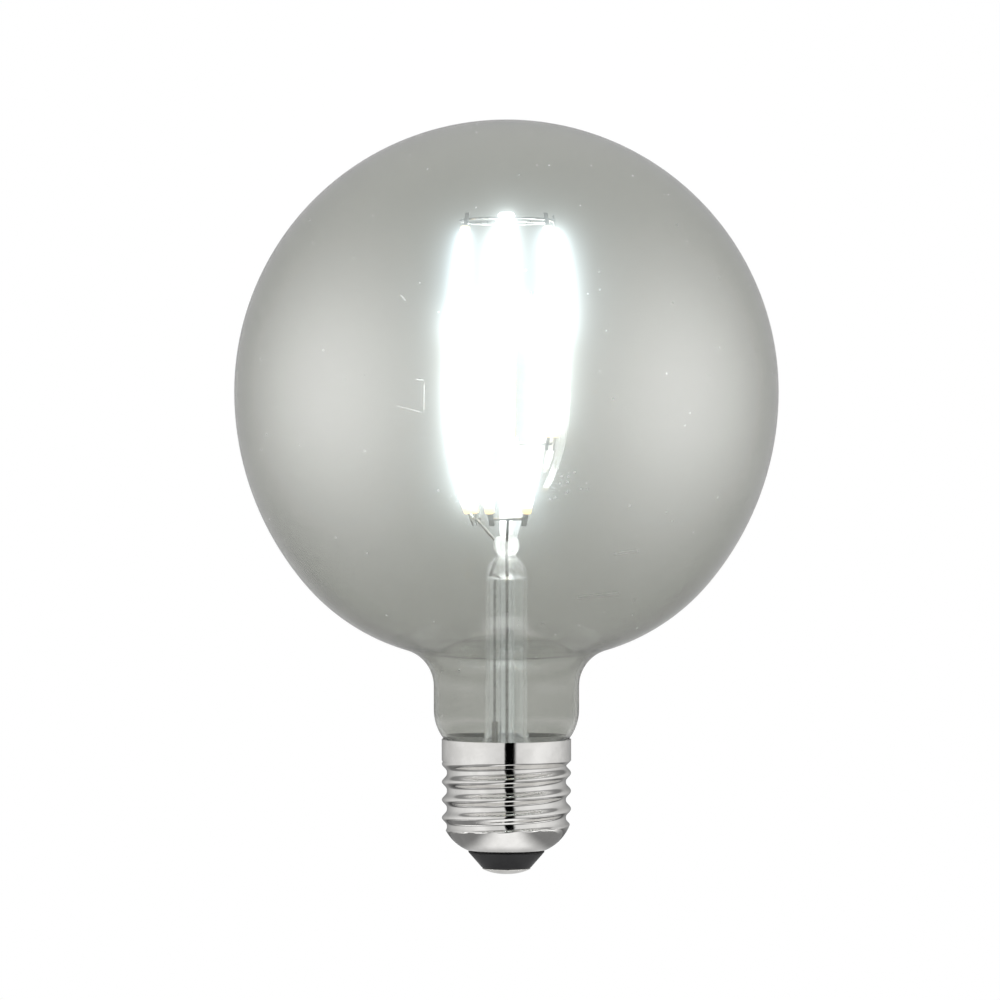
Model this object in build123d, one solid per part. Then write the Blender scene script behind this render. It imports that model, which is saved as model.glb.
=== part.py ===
from build123d import *
import os
from math import acos, asin, ceil, cos, degrees, radians, sin, sqrt

# A globe bulb with an Edison screw cap and eight bowed LED filaments in two staggered tiers.
# Millimetres. The origin is the tip of the centre contact, on the axis, and +Z runs up through
# the globe. Nearly every piece is turned or bent about that axis, so a place is given as a
# radius, a height and an azimuth, which is counted from +X towards +Y.

# Glass globe: a sphere above its equator, two flatter arcs below it, then a blend to the neck
globe_diameter = 110.0
globe_wall = 0.8
side_radius = 60.0
side_angle = 40.0
shoulder_radius = 43.0
neck_diameter = 30.0
neck_blend = 6.0
neck_length = 6.02
neck_foot_rise = 6.0
neck_tail_diameter = 23.0
neck_tail_length = 4.9
tail_taper = 1.1

# Screw cap: a collar above a rolled round thread of 27 mm nominal size
rim_height = 27.2
collar_diameter = 26.2
collar_base = 22.9
thread_crest_diameter = 26.15
thread_root_diameter = 24.1
thread_pitch = 3.629
crest_height = 9.5
thread_steps = 8
shell_wall = 0.3
nose_radius = 9.0
nose_runout = 0.35

# Black insulator and the riveted contact below it
insulator_height = 4.7
insulator_diameter = 15.4
insulator_foot_diameter = 10.0
flange_diameter = 17.2
flange_height = 6.4
contact_height = 1.2
contact_diameter = 9.8
contact_edge = 0.2
contact_bulge = 0.18
contact_flat_diameter = 3.0
rivet_diameter = 2.6
rivet_head_diameter = 4.0
rivet_head_height = 0.5

# Clearances
fit_gap = 0.05
rim_gap = 0.15

# Glass stem: a flare sealed to the neck, a straight tube, and a pinch with a bead on top
stem_diameter = 8.6
stem_wall = 0.9
flare_rise = 7.0
flare_radius = 6.5
stem_shoulder_height = 59.6
shoulder_length = 4.7
shoulder_fullness = 0.55
pinch_diameter = 3.9
bead_diameter = 5.3
bead_rise = 2.5
bead_top_diameter = 3.8
bead_top_rise = 1.5
bead_foot_drop = 2.1
cavity_rise = 2.0
exhaust_diameter = 3.4
exhaust_wall = 0.6
exhaust_tip_rise = 2.0
port_diameter = 1.1
port_drop = 1.0
port_slope = 35.0
port_azimuth = 40.0

# Glass rod above the stem, with a bead for each set of wires
rod_diameter = 2.8
rod_tip_length = 1.5
link_bead_diameter = 5.2
link_bead_length = 3.4
top_bead_diameter = 3.9
top_bead_length = 3.2

# Filaments: coated strips bowed outwards, with a bare metal tab at each end
filament_width = 1.9
filament_depth = 1.5
filament_corner = 0.4
tab_width = 1.2
tab_thickness = 0.25
tab_length = 3.0
# Each tier's coated strip passes through three points, its foot, belly and head. They are given
# as a radius and a rise above the stem's bead, because the stem carries the filaments.
lower_tier = ((7.9, 4.9), (12.2, 26.2), (10.4, 46.3))
upper_tier = ((10.2, 20.3), (12.0, 40.9), (10.1, 62.1))
# The mounts are set by hand, so the filaments stand unevenly about the rod.
lower_azimuths = (145.0, 190.0, 245.0, 300.0)
upper_azimuths = (100.0, 215.0, 325.0, 370.0)

# Wires
wire_side_count = 6
lead_diameter = 0.6
lead_radius = 2.5
lead_pinch_radius = 1.3
lead_bend = 0.9
link_diameter = 0.5
link_radius = 1.95
link_bend = 0.7
hook_length = 1.4
weld_inset = 1.3
ring_diameter = 0.5
stay_depth = 1.1
stay_azimuths = (20.0, 145.0, 265.0)

# Driver board and its components, upright in the cap
board_width = 17.0
board_foot_height = 8.0
board_head = 0.45
board_thickness = 0.8
board_corner = 2.5
solder_lap = 2.6
lead_jog = 3.0
capacitor_diameter = 6.3
capacitor_length = 8.5
capacitor_x = 3.3
package_width = 4.9
package_length = 3.9
package_thickness = 1.5
package_x = 3.2
package_gap = 0.1
leg_reach = 0.8
leg_width = 0.4
leg_thickness = 0.2
resistor_width = 3.1
resistor_length = 1.6
resistor_thickness = 0.55
resistor_x = -1.2
resistor_rise = 2.2
resistor_pitch = 3.0
fuse_diameter = 2.5
fuse_length = 6.0
fuse_lead_diameter = 0.6
fuse_x = -4.4
shell_wire_turns = 1.5
shell_wire_lap = 1.6
sleeve_wall = 0.3
sleeve_length = 11.0

# A cutting solid runs past the face that it opens by this much
cut_margin = 1.0

# Sizes that follow from those above
globe_radius = globe_diameter / 2
neck_radius = neck_diameter / 2
neck_foot_height = rim_height + neck_foot_rise
neck_tail_height = rim_height - neck_tail_length
# The three arcs of the globe's side touch each other, which sets the equator above the neck.
side_slope = radians(side_angle)
side_centre_radius = globe_radius - side_radius
shoulder_centre_radius = side_centre_radius + (side_radius - shoulder_radius) * cos(side_slope)
blend_centre_radius = neck_radius + neck_blend
blend_centre_height = neck_foot_height + neck_length
shoulder_blend_angle = acos((blend_centre_radius - shoulder_centre_radius) / (shoulder_radius + neck_blend))
shoulder_centre_height = blend_centre_height + (shoulder_radius + neck_blend) * sin(shoulder_blend_angle)
equator_height = shoulder_centre_height + (side_radius - shoulder_radius) * sin(side_slope)
overall_length = equator_height + globe_radius
tail_radius = neck_tail_diameter / 2
collar_radius = collar_diameter / 2
collar_bore = collar_radius - shell_wall
thread_radius = (thread_crest_diameter + thread_root_diameter) / 4
thread_offset = (thread_crest_diameter - thread_root_diameter) / 4
nose_centre_radius = thread_crest_diameter / 2 + nose_runout - nose_radius
nose_centre_height = insulator_height + sqrt(
    nose_radius**2 - (insulator_diameter / 2 - nose_centre_radius) ** 2
)
stem_radius = stem_diameter / 2
stem_bore = stem_radius - stem_wall
flare_height = neck_tail_height + flare_rise
pinch_height = stem_shoulder_height + shoulder_length
bead_height = pinch_height + bead_rise
bead_top_height = bead_height + bead_top_rise
cavity_top_height = stem_shoulder_height + cavity_rise
rod_radius = rod_diameter / 2
# The board is as long as its two packages with their legs, one above the other.
package_reach = package_length / 2 + leg_reach
chip_height = board_foot_height + package_gap + package_reach
rectifier_height = chip_height + 2 * package_reach + package_gap
board_top_height = rectifier_height + package_reach + board_head
board_middle_height = (board_foot_height + board_top_height) / 2


def at(radius, height, azimuth):
    """A point given by its radius, height and azimuth about the bulb's axis."""
    return Vector(radius * cos(radians(azimuth)), radius * sin(radians(azimuth)), height)


def mean(*values):
    return sum(values) / len(values)


def on_circle(centre, radius, angle):
    """A point of the half outline, on a circle, at an angle in radians above level."""
    return (centre[0] + radius * cos(angle), centre[1] + radius * sin(angle))


def arc_between(centre, radius, start, end):
    """An arc of the half outline between two angles in radians."""
    angles = (start, (start + end) / 2, end)
    return ThreePointArc(*[on_circle(centre, radius, angle) for angle in angles])


def turned(*edges):
    """A solid of revolution from a closed half outline, drawn as (radius, height)."""
    return revolve(Plane.XZ * make_face(Curve() + list(edges)), axis=Axis.Z)


def tube(outer_radius, inner_radius, bottom, top):
    """A plain upright tube about the axis."""
    ring = Circle(outer_radius) - Circle(inner_radius)
    return extrude(Pos(0, 0, bottom) * ring, amount=top - bottom)


def rod(radius, bottom, top):
    """A plain upright rod about the axis."""
    return extrude(Pos(0, 0, bottom) * Circle(radius), amount=top - bottom)


def wire_section(diameter):
    """Thin wires are drawn with a few flats, their corners on the real diameter."""
    return RegularPolygon(diameter / 2, wire_side_count)


def bent_wire(points, diameter, bend):
    """A wire along straight runs joined by arcs."""
    path = FilletPolyline(*points, radius=bend) if len(points) > 2 else Line(*points)
    return sweep(Plane(path @ 0, z_dir=path % 0) * wire_section(diameter), path=path)


def wire_arc(radius, height, diameter, start, angle=360.0):
    """A wire bent in a level arc about the axis."""
    section = Plane.XZ * Pos(radius, height) * wire_section(diameter)
    return Rot(0, 0, start) * revolve(section, axis=Axis.Z, revolution_arc=angle)


# Globe


def globe_profile(inset):
    """The half outline from the crown down to the neck's foot, with the skin moved in."""
    crown_centre = (0, equator_height)
    side_centre = (side_centre_radius, equator_height)
    shoulder_centre = (shoulder_centre_radius, shoulder_centre_height)
    blend_centre = (blend_centre_radius, blend_centre_height)
    meeting = shoulder_blend_angle
    crown = arc_between(crown_centre, globe_radius - inset, radians(90), 0)
    side = arc_between(side_centre, side_radius - inset, 0, -side_slope)
    shoulder = arc_between(shoulder_centre, shoulder_radius - inset, -side_slope, -meeting)
    blend = arc_between(blend_centre, neck_blend + inset, radians(180) - meeting, radians(180))
    neck = Line(blend @ 1, (neck_radius - inset, neck_foot_height))
    return [crown, side, shoulder, blend, neck]


def foot_profile(inset):
    """The neck's rounded foot, from its straight side in to the bore of the cap's rim."""
    run = neck_radius - (collar_bore - rim_gap)
    drop = neck_foot_height - rim_height
    radius = (run**2 + drop**2) / (2 * run)
    centre = (neck_radius - radius, neck_foot_height)
    return arc_between(centre, radius - inset, 0, -asin(drop / radius))


def filled_glass(inset, end_height):
    """The globe and neck filled solid, with the skin moved in."""
    foot = foot_profile(inset)
    tail = tail_radius - inset
    tail_top = (foot @ 1).Y - tail_taper
    return turned(
        *globe_profile(inset),
        foot,
        Polyline(foot @ 1, (tail, tail_top), (tail, end_height), (0, end_height)),
        Line((0, end_height), (0, overall_length - inset)),
    )


def glass_globe():
    """Blown glass of one even wall, open at the tail that goes into the cap."""
    hollow = filled_glass(globe_wall, neck_tail_height - cut_margin)
    return filled_glass(0, neck_tail_height) - hollow


# Screw cap


def nose_profile(inset):
    """The convex nose of the shell, from the insulator out to the full width."""
    centre = (nose_centre_radius, nose_centre_height)
    radius = nose_radius - inset
    start = -acos((nose_lip_radius(inset) - centre[0]) / radius)
    return arc_between(centre, radius, start, 0)


def nose_lip_radius(inset):
    """Where the nose meets the level of the insulator's shoulder."""
    rise = nose_centre_height - insulator_height
    return nose_centre_radius + sqrt((nose_radius - inset) ** 2 - rise**2)


def threaded_core(inset):
    """A round thread: discs set off the axis, each turned a step further as it rises."""
    bottom = insulator_height - cut_margin
    steps = ceil((collar_base - bottom) / thread_pitch * thread_steps)
    discs = []
    for step in range(steps + 1):
        height = bottom + (collar_base + inset / 2 - bottom) * step / steps
        azimuth = 360 * (height - crest_height) / thread_pitch
        discs.append(Pos(at(thread_offset, height, azimuth)) * Circle(thread_radius - inset))
    return loft(discs, ruled=True)


def nose_envelope(inset, bottom):
    """The room inside the nose, open upwards, that ends the thread at its lower end."""
    nose = nose_profile(inset)
    lip, side = nose @ 0, nose @ 1
    top = rim_height
    return turned(
        Polyline(side, (side.X, top), (0, top), (0, bottom), (lip.X, bottom), lip),
        nose,
    )


def collar(inset, top):
    """The smooth collar, coned at its lower end down to the thread's root."""
    root = thread_root_diameter / 2 - inset
    side = collar_radius - inset
    base = collar_base + inset / 2
    return turned(
        Polyline(
            (0, base - (side - root)),
            (root, base - (side - root)),
            (side, base),
            (side, top),
            (0, top),
            close=True,
        )
    )


def filled_shell(inset, bottom, top):
    """The shell filled solid: thread, nose and collar, with the skin moved in."""
    return (threaded_core(inset) & nose_envelope(inset, bottom)) + collar(inset, top)


def screw_shell():
    """Thin sheet rolled with the same round thread inside and out."""
    hollow = filled_shell(shell_wall, insulator_height - cut_margin / 2, rim_height + cut_margin)
    return filled_shell(0, insulator_height, rim_height) - hollow


def cap_insulator():
    """A moulded ring that grips the lip of the shell between its cone and its flange."""
    skin = shell_wall + fit_gap
    hub = nose_lip_radius(shell_wall) - fit_gap
    centre = (nose_centre_radius, nose_centre_height)
    radius = nose_radius - skin
    hub_angle = -acos((hub - centre[0]) / radius)
    flange_angle = -acos((flange_diameter / 2 - centre[0]) / radius)
    grip = arc_between(centre, radius, hub_angle, flange_angle)
    bore = rivet_diameter / 2 + fit_gap
    shoulder = insulator_height - fit_gap
    return turned(
        Polyline(
            grip @ 0,
            (hub, shoulder),
            (insulator_diameter / 2, shoulder),
            (insulator_foot_diameter / 2, contact_height),
            (bore, contact_height),
            (bore, flange_height),
            (flange_diameter / 2, flange_height),
            grip @ 1,
        ),
        grip,
    )


def centre_contact():
    """A domed disc and its solid rivet, headed over on top of the insulator."""
    edge = contact_height - contact_edge
    flat = contact_flat_diameter / 2
    side = contact_diameter / 2
    belly = mean(edge, 0) - contact_bulge
    dome = ThreePointArc((side, edge), (mean(side, flat), belly), (flat, 0))
    rivet = rivet_diameter / 2
    head = rivet_head_diameter / 2
    head_top = flange_height + rivet_head_height
    return turned(
        dome,
        Polyline(
            (flat, 0),
            (0, 0),
            (0, head_top),
            (rivet, head_top),
            (head, flange_height),
            (rivet, flange_height),
            (rivet, contact_height),
            (side, contact_height),
            (side, edge),
        ),
    )


def basing_cement():
    """The ring of cement between the neck's tail and the collar's bore."""
    bottom = collar_base + shell_wall + fit_gap
    top = (foot_profile(0) @ 1).Y - tail_taper
    return tube(collar_bore - fit_gap, tail_radius + fit_gap, bottom, top)


# Glass stem and rod


def flare_arc(inset):
    """The trumpet at the stem's foot, out to the bore of the neck's tail."""
    centre = (stem_radius + flare_radius, flare_height)
    rim = tail_radius - globe_wall - fit_gap
    end = acos((centre[0] - rim) / flare_radius)
    return arc_between(centre, flare_radius + inset, radians(180), radians(180) + end)


def stem_blank():
    """The stem before its holes: flare, tube, shoulder, pinch and bead."""
    outside, inside = flare_arc(0), flare_arc(stem_wall)
    pinch = pinch_diameter / 2
    middle_height = mean(stem_shoulder_height, pinch_height)
    shoulder = ThreePointArc(
        (stem_radius, stem_shoulder_height),
        (mean(stem_radius, pinch) + shoulder_fullness, middle_height + shoulder_fullness),
        (pinch, pinch_height),
    )
    bead_start = (pinch, bead_height - bead_foot_drop)
    bead = ThreePointArc(
        bead_start, (bead_diameter / 2, bead_height), (bead_top_diameter / 2, bead_top_height)
    )
    return turned(
        outside,
        Line(outside @ 0, shoulder @ 0),
        shoulder,
        Line(shoulder @ 1, bead_start),
        bead,
        Polyline(
            bead @ 1,
            (0, bead_top_height),
            (0, cavity_top_height),
            (stem_bore, stem_shoulder_height),
            inside @ 0,
        ),
        inside,
        Line(inside @ 1, outside @ 1),
    )


def stem_tube():
    """The stem with a hole for each lead and the port that the globe was pumped through."""
    stem = stem_blank()
    for azimuth in lead_azimuths():
        stem -= lead_wire(azimuth, fit_gap)
    port_start = Pos(0, 0, cavity_top_height - port_drop)
    port_way = Rot(0, 90 - port_slope, 0) * Pos(0, 0, stem_radius)
    port = port_start * Rot(0, 0, port_azimuth) * port_way
    return stem - port * Cylinder(port_diameter / 2, 2 * stem_radius)


def exhaust_top():
    """Where the exhaust tube's rim meets the sloping top of the stem's cavity."""
    slope = (cavity_top_height - stem_shoulder_height) / stem_bore
    return cavity_top_height - slope * exhaust_diameter / 2 - fit_gap


def exhaust_tube():
    """A thin tube, melted shut to a rounded tip at its lower end."""
    outer = exhaust_diameter / 2
    inner = outer - exhaust_wall
    top = exhaust_top()
    tip_centre = (0, board_top_height + exhaust_tip_rise + outer)
    outer_tip = arc_between(tip_centre, outer, radians(-90), 0)
    inner_tip = arc_between(tip_centre, inner, 0, radians(-90))
    return turned(
        outer_tip,
        Polyline(outer_tip @ 1, (outer, top), (inner, top), inner_tip @ 0),
        inner_tip,
        Line(inner_tip @ 1, outer_tip @ 0),
    )


def link_heights():
    """Heights of the link wires' level ends, at the lower heads and at the upper feet."""
    return tab_point(lower_tier, 1, weld_inset)[1], tab_point(upper_tier, 0, weld_inset)[1]


def support_rod():
    """A glass rod with two beads for the link wires and one for the ring's stays."""
    bead_list = [(height, link_bead_diameter, link_bead_length) for height in link_heights()]
    bead_list.append((ring_height(), top_bead_diameter, top_bead_length))
    glass = rod(rod_radius, bead_top_height + fit_gap, ring_height() + rod_tip_length)
    for height, diameter, length in bead_list:
        bulge = ThreePointArc(
            (rod_radius, height - length / 2),
            (diameter / 2, height),
            (rod_radius, height + length / 2),
        )
        glass += turned(bulge, Polyline(bulge @ 1, (0, (bulge @ 1).Y), (0, (bulge @ 0).Y), bulge @ 0))
    for index in range(len(lower_azimuths)):
        glass -= link_wire(index, fit_gap)
    for azimuth in stay_azimuths:
        glass -= ring_stay(azimuth, fit_gap)
    return glass


# Filaments


def tier_spine(tier):
    """The bowed middle line of a tier's coated strip, in the XZ plane."""
    return Plane.XZ * ThreePointArc(*[(radius, bead_top_height + rise) for radius, rise in tier])


def tab_frame(tier, end):
    """Start and outward direction, as (radius, height), of the tab at end 0 (foot) or 1 (head)."""
    spine = tier_spine(tier)
    start = spine @ end
    way = (spine % end) * (1 if end else -1)
    return (start.X, start.Z), (way.X, way.Z)


def tab_point(tier, end, from_tip, inward=0.0):
    """A point (radius, height) along a tab, measured from its tip and inward from its middle."""
    start, way = tab_frame(tier, end)
    along = tab_length - from_tip
    side = (-abs(way[1]), way[0] if way[1] > 0 else -way[0])
    return (
        start[0] + along * way[0] + inward * side[0],
        start[1] + along * way[1] + inward * side[1],
    )


def filament(tier, azimuth):
    """A strip of LED chips under its phosphor coat, swept along its bow."""
    spine = tier_spine(tier)
    outline = Rectangle(filament_width, filament_depth)
    section = chamfer(outline.vertices(), filament_corner)
    place = Plane(spine @ 0, x_dir=(0, 1, 0), z_dir=spine % 0)
    return Rot(0, 0, azimuth) * sweep(place * section, path=spine)


def filament_tabs(tier, azimuths):
    """The bare metal tabs at both ends of a tier's filaments."""
    tabs = []
    for azimuth in azimuths:
        for end in (0, 1):
            start, way = tab_frame(tier, end)
            plane = Plane((start[0], 0, start[1]), x_dir=(0, 1, 0), z_dir=(way[0], 0, way[1]))
            blank = Pos(0, 0, fit_gap) * Box(
                tab_width, tab_thickness, tab_length - fit_gap, align=(Align.CENTER, Align.CENTER, Align.MIN)
            )
            tabs.append(Rot(0, 0, azimuth) * (plane * blank))
    return Compound(tabs)


# Wires


def lead_azimuths():
    """Each lead leaves the bead towards the middle of its own pair of lower filaments."""
    first, second, third, fourth = lower_azimuths
    return mean(first, second), mean(third, fourth)


def crossbar_place():
    """Radius and height of the crossbars, against the inner faces of the lower feet."""
    return tab_point(lower_tier, 0, weld_inset, tab_thickness / 2 + lead_diameter / 2 + fit_gap)


def board_back():
    """Y of the board's back face, which stands against the live lead."""
    return at(lead_radius, 0, lead_azimuths()[0]).Y - lead_diameter / 2 - fit_gap


def board_front():
    return board_back() - board_thickness


def lead_foot(azimuth):
    """A lead's lower end: straight down the board's back, or jogged in to its front."""
    place = at(lead_radius, 0, azimuth)
    bottom = board_top_height - solder_lap
    if place.Y > board_back():
        return [Vector(place.X, place.Y, bottom)]
    front = board_front() - lead_diameter / 2 - fit_gap
    jog = board_top_height + lead_diameter
    return [
        Vector(place.X, front, bottom),
        Vector(place.X, front, jog),
        Vector(place.X, place.Y, jog + lead_jog),
    ]


def lead_wire(azimuth, swell=0.0):
    """A lead from the board, up inside the stem, through its pinch and out to its crossbar."""
    bar_radius, bar_height = crossbar_place()
    points = lead_foot(azimuth) + [
        at(lead_radius, stem_shoulder_height - lead_bend, azimuth),
        at(lead_pinch_radius, pinch_height - lead_bend, azimuth),
        at(rod_radius + lead_diameter / 2 + 2 * fit_gap, bead_height, azimuth),
        at(bar_radius - lead_diameter - fit_gap, bar_height, azimuth),
    ]
    return bent_wire(points, lead_diameter + 2 * swell, lead_bend)


def crossbar(pair):
    """A short bent wire inside the feet of a pair of lower filaments."""
    radius, height = crossbar_place()
    margin = degrees(tab_width / 2 / radius)
    start = min(pair) - margin
    return wire_arc(radius, height, lead_diameter, start, max(pair) + margin - start)


def link_wire(index, swell=0.0):
    """From a lower filament's head in to the rod, down through both beads and out to a foot."""
    lower = lower_azimuths[index]
    upper = upper_azimuths[index]
    middle = mean(lower, upper)
    head_height, foot_height = link_heights()
    lift = tab_thickness / 2 + link_diameter / 2 + fit_gap
    head = tab_point(lower_tier, 1, weld_inset, lift)
    head_end = tab_point(lower_tier, 1, weld_inset + hook_length, lift)
    foot = tab_point(upper_tier, 0, weld_inset, lift)
    foot_end = tab_point(upper_tier, 0, weld_inset + hook_length, lift)
    points = [
        at(*head_end, lower),
        at(*head, lower),
        at(link_radius, head_height, middle),
        at(link_radius, foot_height, middle),
        at(*foot, upper),
        at(*foot_end, upper),
    ]
    return bent_wire(points, link_diameter + 2 * swell, link_bend)


def ring_height():
    return tab_point(upper_tier, 1, weld_inset)[1]


def ring_radius():
    """The ring lies against the inner faces of the upper heads."""
    return tab_point(upper_tier, 1, weld_inset, tab_thickness / 2 + ring_diameter / 2 + fit_gap)[0]


def top_ring():
    return wire_arc(ring_radius(), ring_height(), ring_diameter, 0)


def ring_stay(azimuth, swell=0.0):
    """A straight wire from inside the rod's top bead out to the ring."""
    inner = top_bead_diameter / 2 - stay_depth
    outer = ring_radius() - ring_diameter / 2 - fit_gap
    points = [at(inner, ring_height(), azimuth), at(outer, ring_height(), azimuth)]
    return bent_wire(points, ring_diameter + 2 * swell, 0)


# Driver inside the cap


def on_back(x, height, rise):
    """A place off the board's back face, with local y up the bulb and local z away from it."""
    return Plane((x, board_back() + rise, height), x_dir=(-1, 0, 0), z_dir=(0, 1, 0))


def on_front(x, height, rise):
    """A place off the board's front face, with local y up the bulb and local z away from it."""
    return Plane((x, board_front() - rise, height), x_dir=(1, 0, 0), z_dir=(0, -1, 0))


def driver_board():
    """An upright board with its lower corners cut off to clear the shell's nose."""
    side = board_width / 2
    outline = Polyline(
        (-side, board_top_height),
        (side, board_top_height),
        (side, board_foot_height + board_corner),
        (side - board_corner, board_foot_height),
        (board_corner - side, board_foot_height),
        (-side, board_foot_height + board_corner),
        close=True,
    )
    return extrude(on_front(0, 0, 0) * make_face(outline), amount=-board_thickness)


def package(x, height, pairs):
    """A moulded chip package on the board's front, with pairs of legs above and below."""
    block = Box(package_width, package_length, package_thickness)
    solid = on_front(x, height, fit_gap + leg_thickness + package_thickness / 2) * block
    leg = Box(leg_width, package_length + 2 * leg_reach, leg_thickness)
    pitch = package_width / pairs
    for index in range(pairs):
        leg_x = x + (index - (pairs - 1) / 2) * pitch
        solid += on_front(leg_x, height, fit_gap + leg_thickness / 2) * leg
    return solid


def smoothing_capacitor():
    """An aluminium can lying up the board's back."""
    can = Rot(90, 0, 0) * Cylinder(capacitor_diameter / 2, capacitor_length)
    return on_back(capacitor_x, board_middle_height, capacitor_diameter / 2 + fit_gap) * can


def sense_resistors():
    """Two chip resistors, one above the other."""
    block = Box(resistor_width, resistor_length, resistor_thickness)
    rise = fit_gap + resistor_thickness / 2
    first = board_foot_height + resistor_rise
    heights = (first, first + resistor_pitch)
    return Compound([on_front(resistor_x, height, rise) * block for height in heights])


def fuse_resistor():
    """An axial resistor between the contact's rivet and the board."""
    axis_y = on_front(0, 0, fit_gap + fuse_diameter / 2).origin.Y
    low = board_middle_height - fuse_length / 2
    high = board_middle_height + fuse_length / 2
    rivet_top = flange_height + rivet_head_height + fuse_lead_diameter / 2 + fit_gap
    lower_lead = [(0, 0, rivet_top), (fuse_x, axis_y, rivet_top), (fuse_x, axis_y, low)]
    turn = high + 2 * fuse_lead_diameter
    upper_lead = [(fuse_x, axis_y, high), (fuse_x, axis_y, turn), (fuse_x, board_front() - fit_gap, turn)]
    body = Pos(fuse_x, axis_y, board_middle_height) * Cylinder(fuse_diameter / 2, fuse_length)
    for points in (lower_lead, upper_lead):
        body += bent_wire(points, fuse_lead_diameter, fuse_lead_diameter)
    return body


def shell_wire():
    """A straight wire from the board's edge out to a valley of the shell's thread."""
    height = crest_height + shell_wire_turns * thread_pitch
    y = board_front() - fit_gap - link_diameter / 2
    wall = thread_root_diameter / 2 - shell_wall - fit_gap
    reach = sqrt(wall**2 - (abs(y) + link_diameter / 2) ** 2)
    return bent_wire([(board_width / 2 - shell_wire_lap, y, height), (reach, y, height)], link_diameter, 0)


def lead_sleeve():
    """Woven sleeving over the live lead, from the board up into the stem."""
    bore = lead_diameter / 2 + fit_gap
    bottom = board_top_height + fit_gap
    sleeve = tube(bore + sleeve_wall, bore, bottom, bottom + sleeve_length)
    return Pos(at(lead_radius, 0, lead_azimuths()[0])) * sleeve


def all_pieces():
    """Every piece by its node's name."""
    live, neutral = lead_azimuths()
    pieces = {
        "glass_globe": glass_globe(),
        "screw_shell": screw_shell(),
        "cap_insulator": cap_insulator(),
        "centre_contact": centre_contact(),
        "basing_cement": basing_cement(),
        "stem_tube": stem_tube(),
        "exhaust_tube": exhaust_tube(),
        "support_rod": support_rod(),
        "lead_wire_live": lead_wire(live),
        "lead_wire_neutral": lead_wire(neutral),
        "crossbar_live": crossbar(lower_azimuths[:2]),
        "crossbar_neutral": crossbar(lower_azimuths[2:]),
        "filament_tabs_lower": filament_tabs(lower_tier, lower_azimuths),
        "filament_tabs_upper": filament_tabs(upper_tier, upper_azimuths),
        "top_ring": top_ring(),
        "driver_board": driver_board(),
        "bridge_rectifier": package(package_x, rectifier_height, 2),
        "driver_chip": package(package_x, chip_height, 4),
        "smoothing_capacitor": smoothing_capacitor(),
        "sense_resistors": sense_resistors(),
        "fuse_resistor": fuse_resistor(),
        "shell_wire": shell_wire(),
        "lead_sleeve": lead_sleeve(),
    }
    for index, azimuth in enumerate(lower_azimuths):
        pieces[f"filament_lower_{index + 1}"] = filament(lower_tier, azimuth)
        pieces[f"link_wire_{index + 1}"] = link_wire(index)
    for index, azimuth in enumerate(upper_azimuths):
        pieces[f"filament_upper_{index + 1}"] = filament(upper_tier, azimuth)
    for index, azimuth in enumerate(stay_azimuths):
        pieces[f"ring_stay_{index + 1}"] = ring_stay(azimuth)
    return pieces


os.makedirs("parts", exist_ok=True)
for node, shape in all_pieces().items():
    export_step(shape, f"parts/{node}.step")
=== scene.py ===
# %% [markdown]
# # A smoky globe lamp with eight lit filaments
#
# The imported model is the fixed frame: every piece below is made in its place, in metres. The model
# stands on the tip of its contact, its axis is Z, and nearly every piece is turned about that axis.
# Each step first says what the piece is on the real lamp and why it is made this way.

# %% Load the frame
import bpy
import math
from mathutils import Matrix, Vector


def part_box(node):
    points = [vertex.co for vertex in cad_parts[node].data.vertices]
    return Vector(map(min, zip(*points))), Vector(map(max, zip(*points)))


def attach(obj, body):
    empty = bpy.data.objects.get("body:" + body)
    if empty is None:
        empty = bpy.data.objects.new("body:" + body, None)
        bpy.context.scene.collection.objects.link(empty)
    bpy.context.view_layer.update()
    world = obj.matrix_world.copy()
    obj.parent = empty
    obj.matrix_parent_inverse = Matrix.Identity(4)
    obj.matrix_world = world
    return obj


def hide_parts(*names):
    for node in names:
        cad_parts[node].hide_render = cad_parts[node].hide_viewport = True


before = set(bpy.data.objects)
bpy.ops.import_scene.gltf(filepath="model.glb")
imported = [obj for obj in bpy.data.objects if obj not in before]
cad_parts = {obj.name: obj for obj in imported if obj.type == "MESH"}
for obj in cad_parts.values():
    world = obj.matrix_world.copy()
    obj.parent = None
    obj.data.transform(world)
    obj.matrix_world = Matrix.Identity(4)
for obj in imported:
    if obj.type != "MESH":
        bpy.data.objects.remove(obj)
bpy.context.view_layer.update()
mm = 0.001

# %% [markdown]
# ## Sizes that several pieces share
#
# The globe's outline is a half circle above its equator, then a flatter arc, a tighter one and a
# small blend into the neck. What the frame's boxes can tell is read from them, so that the glass
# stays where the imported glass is. The rest are the lamp's own sizes.

# %% Measure the frame
globe_low, globe_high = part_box("glass_globe")
shell_low, shell_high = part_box("screw_shell")
insulator_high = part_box("cap_insulator")[1]
stem_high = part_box("stem_tube")[1]
exhaust_low, exhaust_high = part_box("exhaust_tube")
rod_low, rod_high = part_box("support_rod")
globe_radius = (globe_high[0] - globe_low[0]) / 2
equator = globe_high[2] - globe_radius
rim = shell_high[2]
shoulder_level = shell_low[2]
globe_wall = 0.8 * mm
neck_radius = 14.7 * mm
neck_foot = rim + 6 * mm
tail_radius = 11.5 * mm
collar_radius = 13.1 * mm
shell_wall = 0.3 * mm
link_diameter = 0.5 * mm
slack = 0.05 * mm
print("equator at", round(equator / mm, 2), "mm, rim at", round(rim / mm, 2), "mm")
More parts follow.
